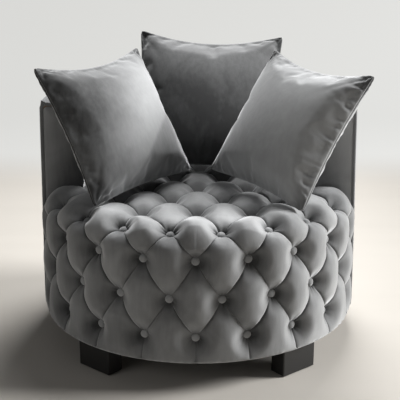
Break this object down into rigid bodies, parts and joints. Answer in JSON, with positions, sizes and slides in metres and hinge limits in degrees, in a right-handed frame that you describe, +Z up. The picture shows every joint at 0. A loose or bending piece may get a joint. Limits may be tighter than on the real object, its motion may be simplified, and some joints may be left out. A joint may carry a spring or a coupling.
{
  "type": "upholstered armchair",
  "caption": "Round barrel accent chair with a deep-buttoned drum seat, a smooth padded back, block feet and loose square pillows.",
  "frame": {"origin": "the floor, on the axis of the round drum", "axes": "+Z up, the chair faces -Y, +X to the right as seen from the front"},
  "size_m": [0.9312, 0.92, 0.8463],
  "materials": {
    "velvet": "mid-grey short-pile velvet",
    "button_velvet": "the same velvet stretched over a domed button",
    "pillow_velvet": "the same velvet, loose over a soft filling",
    "black_lacquer": "satin black lacquer on solid wood",
    "plywood": "bare birch plywood",
    "fibreboard": "bare bent fibreboard",
    "foam": "open-cell upholstery foam",
    "wadding": "polyester wadding",
    "twine": "waxed upholstery twine",
    "cambric": "black non-woven cambric",
    "felt": "dense felt",
    "zinc": "bright zinc-plated steel"
  },
  "bodies": {
    "chair": {"base_plate": "plywood", "dust_cover": "cambric", "drum_posts": "plywood", "seat_deck": "plywood", "deck_screws": "zinc", "base_screws": "zinc", "front_board": "fibreboard", "back_posts": "plywood", "back_top_rail": "plywood", "back_inner_board": "fibreboard", "back_outer_board": "fibreboard", "left_arm_board": "fibreboard", "right_arm_board": "fibreboard", "back_foam": "foam", "back_wadding": "wadding", "inside_back_cover": "velvet", "outside_back_cover": "velvet", "left_arm_cover": "velvet", "right_arm_cover": "velvet", "seat_foam": "foam", "seat_cover": "velvet", "front_foam": "foam", "front_cover": "velvet", "seat_buttons": "button_velvet", "shoulder_buttons": "button_velvet", "upper_buttons": "button_velvet", "middle_buttons": "button_velvet", "lower_buttons": "button_velvet", "seat_ties": "twine", "shoulder_ties": "twine", "front_ties": "twine", "front_left_leg": "black_lacquer", "front_right_leg": "black_lacquer", "rear_left_leg": "black_lacquer", "rear_right_leg": "black_lacquer", "leg_tee_nuts": "zinc", "leg_bolts": "zinc", "leg_glides": "felt"},
    "left_pillow": {"left_pillow_cover": "pillow_velvet", "left_pillow_filling": "wadding"},
    "right_pillow": {"right_pillow_cover": "pillow_velvet", "right_pillow_filling": "wadding"},
    "back_pillow": {"back_pillow_cover": "pillow_velvet", "back_pillow_filling": "wadding"}
  },
  "joints": [
    {"name": "left_pillow_lift", "type": "slide", "parent": "chair", "child": "left_pillow", "axis": [0, 0, 1], "range_m": [0, 0.4]},
    {"name": "right_pillow_lift", "type": "slide", "parent": "chair", "child": "right_pillow", "axis": [0, 0, 1], "range_m": [0, 0.4]},
    {"name": "back_pillow_lift", "type": "slide", "parent": "chair", "child": "back_pillow", "axis": [0, 0.342, 0.9397], "range_m": [0, 0.4]}
  ]
}
